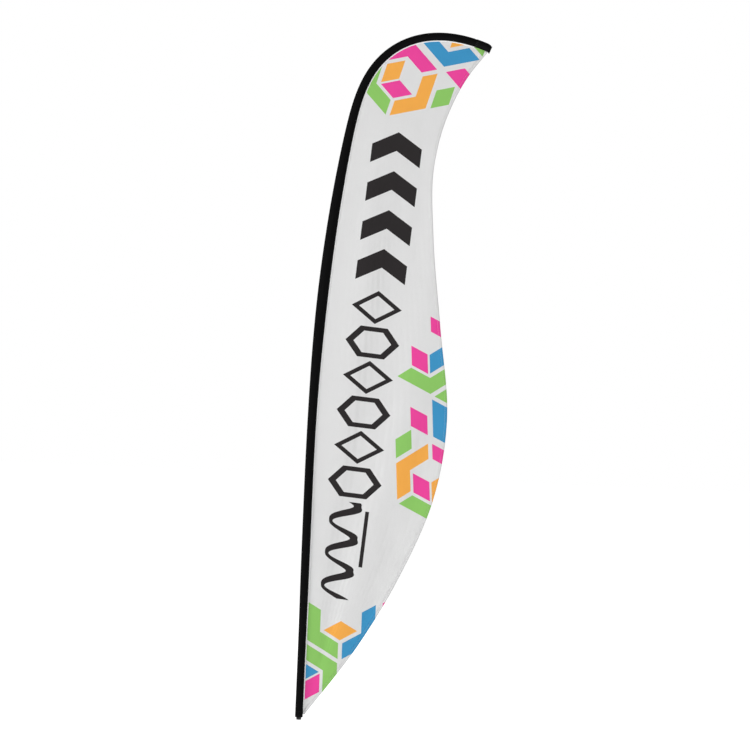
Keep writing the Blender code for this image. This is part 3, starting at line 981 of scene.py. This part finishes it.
def printMasks(finish, place):
    # for each colour, 1 inside its blocks
    masks, do = {}, finish.math
    for cluster in clusters:
        x, z = cluster["middle"]
        across = {}
        for way, angle in ways.items():
            a = math.radians(angle + cluster["turned"])
            n = (-math.sin(a), 0.0, math.cos(a))
            across[way] = do("SUBTRACT", finish.dot(place, n), n[0] * x + n[2] * z)
        reach = do("COMPARE", finish.dot(place, (0, 0, 1)), z, clusterReach)
        for colour, wayA, lowA, highA, wayB, lowB, highB in cluster["blocks"]:
            inA = between(finish, across[wayA], lowA / 1000, highA / 1000)
            inB = between(finish, across[wayB], lowB / 1000, highB / 1000)
            block = do("MULTIPLY", do("MULTIPLY", inA, inB), reach)
            masks[colour] = do("MAXIMUM", masks[colour], block) if colour in masks else block
    return masks


def inkMask(finish, place):
    # arrows, rings, a brush wave and a rule, one after another up the leaning line
    do = finish.math
    x, z = marks["foot"]
    a = math.radians(marks["leans"])
    up, right = (math.sin(a), 0, math.cos(a)), (math.cos(a), 0, -math.sin(a))
    v = do("SUBTRACT", finish.dot(place, up), up[0] * x + up[2] * z)
    w = do("SUBTRACT", finish.dot(place, right), right[0] * x + right[2] * z)
    side = do("ABSOLUTE", w)

    # arrows: height plus a slope times the distance aside, repeated each pitch
    m = marks["arrows"]
    start = m["from"] + m["slope"] * m["half"] * .55
    turnOf = do("DIVIDE", do("MULTIPLY_ADD", side, m["slope"], do("SUBTRACT", v, start)), m["pitch"])
    arrows = do("LESS_THAN", do("FRACT", turnOf), m["share"])
    arrows = do("MULTIPLY", arrows, between(finish, turnOf, 0, m["count"]))
    arrows = do("MULTIPLY", arrows, do("LESS_THAN", side, m["half"]))

    # rings: in each pitch the greatest of three slanting distances, six-sided and four-sided by turns
    m = marks["rings"]
    turnOf = do("DIVIDE", do("SUBTRACT", v, m["from"]), m["pitch"])
    local = do("ABSOLUTE", do("MULTIPLY", do("SUBTRACT", do("FRACT", turnOf), .5), m["pitch"]))
    drawn = do("MULTIPLY", side, m["squeeze"])
    six = do("MAXIMUM", do("MULTIPLY_ADD", drawn, .866, do("MULTIPLY", local, .5)), local)
    four = do("MULTIPLY", do("ADD", drawn, local), .93)
    odd = do("LESS_THAN", do("FRACT", do("MULTIPLY", turnOf, .5)), .5)
    far = do("MULTIPLY_ADD", six, odd, do("MULTIPLY", four, do("SUBTRACT", 1.0, odd)))
    rings = between(finish, far, m["outer"] - m["stroke"], m["outer"])
    rings = do("MULTIPLY", rings, between(finish, turnOf, 0, m["count"]))

    # wave: the distance aside from a sine, over its own steepness, within half a brush's width
    m = marks["wave"]
    k = 2 * math.pi / m["length"]
    phase = do("MULTIPLY_ADD", v, k, m["start"])
    off = do("SUBTRACT", do("SUBTRACT", w, m["aside"]), do("MULTIPLY", do("SINE", phase), m["swing"]))
    steep = do("MULTIPLY", do("COSINE", phase), m["swing"] * k)
    off = do("DIVIDE", do("ABSOLUTE", off), do("SQRT", do("MULTIPLY_ADD", steep, steep, 1.0)))
    brush = do("MULTIPLY_ADD", do("SINE", do("ADD", phase, .6)), m["half"] * .45, m["half"])
    wave = do("MULTIPLY", do("LESS_THAN", off, brush), between(finish, v, m["from"], m["to"]))

    m = marks["rule"]
    rule = between(finish, w, m["aside"] - m["half"], m["aside"] + m["half"])
    rule = do("MULTIPLY", rule, between(finish, v, m["from"], m["to"]))
    return do("MAXIMUM", do("MAXIMUM", arrows, rings), do("MAXIMUM", wave, rule))


def weaveHeight(finish, u, v, pitch):
    # over-and-under threads: the product of two sines, one along each way
    k = 2 * math.pi / pitch
    return finish.math("MULTIPLY", *(finish.math("SINE", finish.math("MULTIPLY", w, k)) for w in (u, v)))


knit = {
    "slubs": (260, 1, 22),    # to the metre, each way: a few millimetres wide and a few centimetres high
    "slubTone": .035,
    "patches": 7.0,
    "patchTone": .03,
    "pitch": .0016,
    "weaveBump": .4,
    "slubBump": .2,
    "fold": (.0016, .0034),   # painted shade along the hem's fold, fading out between these distances from it
}


def printedCloth(name, shade, foldShade=None):
    # blocks, then ink, then the knit's slubs and patches, and a fine cross weave; a shade below 1 darkens the
    # whole piece as painted shade, and foldShade is painted shade along the hem's fold
    finish = Finish(name, Roughness=.82, Sheen_Weight=.12, Sheen_Roughness=.5, Specular_IOR_Level=.25)
    place = finish.coordinates()
    colour = tuple(palette["ground"])
    for key, mask in printMasks(finish, place).items():
        colour = finish.mix(mask, colour, palette[key])
    colour = finish.mix(inkMask(finish, place), colour, palette["ink"])
    slubs = finish.streaks(place, knit["slubs"], 3.0)
    patches = finish.noise(place, knit["patches"])
    tone = finish.math("MULTIPLY_ADD", patches, knit["patchTone"], shade - .0325)
    colour = finish.shaded(colour, finish.math("MULTIPLY_ADD", slubs, knit["slubTone"], tone))
    if foldShade:
        fromFold = finish.dot(finish.coordinates("UV"), (0, 1, 0))
        colour = finish.shaded(colour, finish.ramp(fromFold, *knit["fold"], foldShade, 1.0))
    u, v = finish.dot(place, (1, 0, 0)), finish.dot(place, (0, 0, 1))
    normal = finish.bump(weaveHeight(finish, u, v, knit["pitch"]), knit["weaveBump"], .0003)
    normal = finish.bump(slubs, knit["slubBump"], .0006, normal)
    rough = finish.math("MULTIPLY_ADD", slubs, .12, .76)
    return finish.done(colour, rough, normal)


cloths = {
    "sleeveTwill": {"colour": (.0028, .0028, .0030), "pitch": .0016, "variation": .35, "bump": .55,
                    "roughness": .74, "sheen": 0, "gloss": .06},
    "pocketWebbing": {"colour": (.0032, .0032, .0034), "pitch": .0024, "variation": .3, "bump": .65,
                      "roughness": .70, "sheen": 0, "gloss": .08},
    "bindingTape": {"colour": (.93, .93, .93), "pitch": .0009, "variation": .03, "bump": .4,
                    "roughness": .85, "sheen": .1, "gloss": .3},
    "blockoutLiner": {"colour": (.10, .10, .11), "pitch": .0010, "variation": .1, "bump": .3,
                      "roughness": .7, "sheen": 0, "gloss": .3},
}


def plainCloth(name):
    # woven cloth that follows the piece's own metres, with rubbed patches a quarter paler
    look = cloths[name]
    colour, bump = look["colour"], look["bump"]
    finish = Finish(name, Sheen_Weight=look["sheen"], Sheen_Roughness=.45, Specular_IOR_Level=look["gloss"])
    own = finish.coordinates("UV")
    weave = weaveHeight(finish, finish.dot(own, (1, 0, 0)), finish.dot(own, (0, 1, 0)), look["pitch"])
    slubs = finish.streaks(own, (30, 420, 1), 3.0)
    rubbed = finish.ramp(finish.noise(finish.coordinates(), 5.0, 3.0), .45, .75, 0, .35)
    mixed = finish.mix(slubs, tinted(colour, 1 - look["variation"]), tinted(colour, 1 + look["variation"]))
    mixed = finish.mix(rubbed, mixed, tinted(colour, 1.25))
    normal = finish.bump(weave, bump, .0003)
    normal = finish.bump(slubs, bump * .7, .0008, normal)
    return finish.done(mixed, finish.math("MULTIPLY_ADD", slubs, .15, look["roughness"] - .07), normal)


def threadFinish(name, colour, roughness):
    # twisted yarn: a sine along a slanting line
    finish = Finish(name, Sheen_Weight=.2)
    place = finish.coordinates()
    twist = finish.math("SINE", finish.math("MULTIPLY", finish.dot(place, (.6, .5, .7)), 9000.0))
    tint = finish.mix(finish.noise(place, 90.0), tinted(colour, .8), tinted(colour, 1.2))
    return finish.done(tint, roughness, finish.bump(twist, .3, .0001))


def drawnTube(name):
    # anodised tube: fine lengthwise drawing lines, scuffs where it is handled
    finish = Finish(name, Metallic=1.0, Anisotropic=.35)
    place = finish.coordinates()
    lines = finish.streaks(place, (900, 900, 4))
    worn = finish.ramp(finish.streaks(place, (90, 90, 14), 4.0, .65), .56, .70)
    colour = finish.mix(lines, (.50, .51, .53, 1), (.66, .67, .69, 1))
    colour = finish.mix(finish.math("MULTIPLY", worn, .6), colour, (.74, .75, .76, 1))
    rough = finish.math("MULTIPLY_ADD", worn, .10, finish.math("MULTIPLY_ADD", lines, .12, .22))
    return finish.done(colour, rough, finish.bump(lines, .15, .0001))


def mouldedPlastic(name, colour, roughness, grain):
    # fine spark-eroded grain, with rubbed patches that are a little smoother and paler
    finish = Finish(name, Specular_IOR_Level=.45)
    place = finish.coordinates()
    rubbed = finish.ramp(finish.noise(place, 120.0, 3.0), .5, .7)
    tint = finish.mix(rubbed, tinted(colour, 1), tinted(colour, 1.6, .004))
    rough = finish.math("MULTIPLY_ADD", rubbed, -.12, roughness)
    return finish.done(tint, rough, finish.bump(finish.noise(place, 2600.0), grain, .00015))


def pultrudedRod(name):
    # glass-fibre rod: streaks along the fibres under a thin gloss
    finish = Finish(name, Coat_Weight=.35, Coat_Roughness=.18)
    fibres = finish.streaks(finish.coordinates(), (25, 1400, 60), 3.0)
    tint = finish.mix(fibres, (.018, .018, .021, 1), (.05, .05, .056, 1))
    return finish.done(tint, finish.math("MULTIPLY_ADD", fibres, .2, .3), finish.bump(fibres, .2, .0002))


def wear(piece, material):
    # every slot of the piece gets this material
    if not piece.material_slots:
        piece.data.materials.append(material)
    for slot in piece.material_slots:
        slot.link = "OBJECT"
        slot.material = material


printed = printedCloth("printedKnit", 1.0)
sleeveCloth = plainCloth("sleeveTwill")
blackThread = threadFinish("blackThread", (.020, .020, .021), .5)
collarPlastic = mouldedPlastic("collarPlastic", (.018, .018, .020), .38, .2)
nodeFinishes = {
    "foot_bush": mouldedPlastic("mouldedNylon", (.0045, .0045, .0048), .55, .35),
    "ferrule": collarPlastic,
    "stop_ring": collarPlastic,
    "tip_cap": collarPlastic,
    "pole_section_4": pultrudedRod("pultrudedRod"),
    "pole_section": drawnTube("drawnTube"),
}
for piece, material in (
    # the hem: a shade of .975 over all of it and .86 at its fold, both painted shade
    (frontPanel, printed), (backPanel, printed), (trailingHem, printedCloth("printedHem", .975, .86)),
    (liner, plainCloth("blockoutLiner")), (seamTape, plainCloth("bindingTape")),
    (poleSleeve, sleeveCloth), (footBand, sleeveCloth), (tipPocket, plainCloth("pocketWebbing")),
    (sleeveStitching, blackThread), (endStitching, blackThread),
    (hemStitching, threadFinish("paleThread", (.60, .60, .60), .6)),
    (lowestTube, nodeFinishes["pole_section"]), (tubeCollar, collarPlastic),
    (footBush, nodeFinishes["foot_bush"]),
):
    wear(piece, material)
for name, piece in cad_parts.items():
    for start, material in nodeFinishes.items():
        if name.startswith(start):
            wear(piece, material)
            break
print("materials on")


# stage: a wide pale floor, white all round, and soft boxes
stage = {"floor": 60.0, "floorColour": (.60, .60, .60), "floorGlow": .88, "sky": .24,
         "aim": (0.25, 0, 1.3)}
lights = (
    {"name": "keyBox", "at": (-5.5, -3.2, 3.0), "size": 2.2, "power": 246},
    {"name": "fillBox", "at": (4.0, -4.5, 2.4), "size": 3.2, "power": 33},
    {"name": "backBox", "at": (1.5, 5.5, 3.8), "size": 3.5, "power": 112},
)


def makeStage():
    # a flat grid for the floor, a sky that is brighter to the eye than on the flag, and the lamps
    half = stage["floor"] / 2
    ticks = np.linspace(-half, half, 9)
    x, y = np.meshgrid(ticks, ticks)
    mesh = bpy.data.meshes.new("floor")
    mesh.from_pydata(np.stack([x, y, 0 * x], -1).reshape(-1, 3).tolist(), [], gridFaces(9, 9).tolist())
    floor = inScene("floor", mesh)
    paint = Finish("paleFloor", Roughness=.9, Specular_IOR_Level=0, Base_Color=(*stage["floorColour"], 1),
                   Emission_Color=(1, 1, 1, 1), Emission_Strength=stage["floorGlow"])
    floor.data.materials.append(paint.material)

    world = bpy.data.worlds.new("studio")
    world.use_nodes = True
    bpy.context.scene.world = world
    tree = world.node_tree
    seen = tree.nodes.new("ShaderNodeLightPath")
    level = tree.nodes.new("ShaderNodeMapRange")
    tree.links.new(seen.outputs["Is Camera Ray"], level.inputs[0])
    level.inputs[3].default_value = stage["sky"]
    level.inputs[4].default_value = 1.0
    back = tree.nodes["Background"]
    back.inputs[0].default_value = (1, 1, 1, 1)
    tree.links.new(level.outputs[0], back.inputs[1])

    for box in lights:
        data = bpy.data.lights.new(box["name"], "AREA")
        data.shape = "SQUARE"
        data.size = box["size"]
        data.energy = box["power"]
        lamp = inScene(box["name"], data)
        lamp.location = box["at"]
        toward = np.array(stage["aim"]) - np.array(box["at"])
        lamp.rotation_euler = Vector(toward).to_track_quat("-Z", "Y").to_euler()


makeStage()
print("floor and lights set")

bpy.context.view_layer.update()
